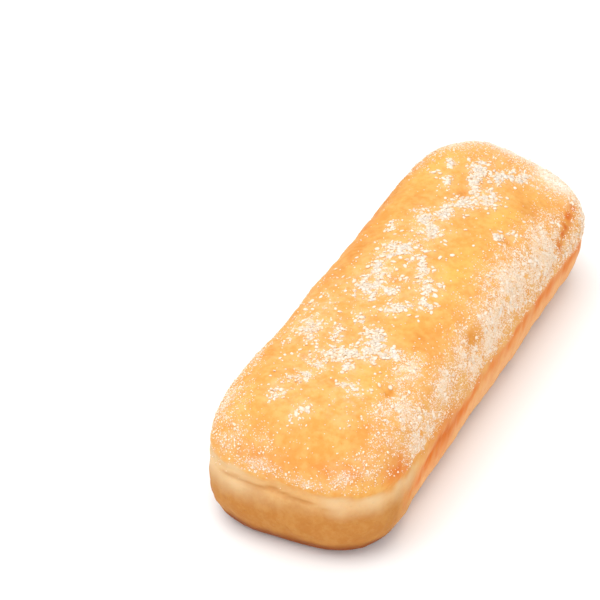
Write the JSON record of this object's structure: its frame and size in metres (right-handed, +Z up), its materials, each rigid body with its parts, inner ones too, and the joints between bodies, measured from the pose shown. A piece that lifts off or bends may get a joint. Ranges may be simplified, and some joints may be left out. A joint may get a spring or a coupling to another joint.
{
  "type": "long sugared bun",
  "caption": "Long fried bun with a flat golden top, rounded ends and a pale band under its crust, uncut and dusted with coarse sugar.",
  "frame": {"origin": "under the middle of the bun, on the surface that it lies on", "axes": "+X along the bun towards its narrower end, +Y across it, +Z up"},
  "size_m": [0.1504, 0.051, 0.0374],
  "materials": {
    "crust": "matt, baked and slightly oily",
    "sugar": "matt white grains"
  },
  "bodies": {
    "root": {"long_bun": "crust"}
  },
  "joints": []
}
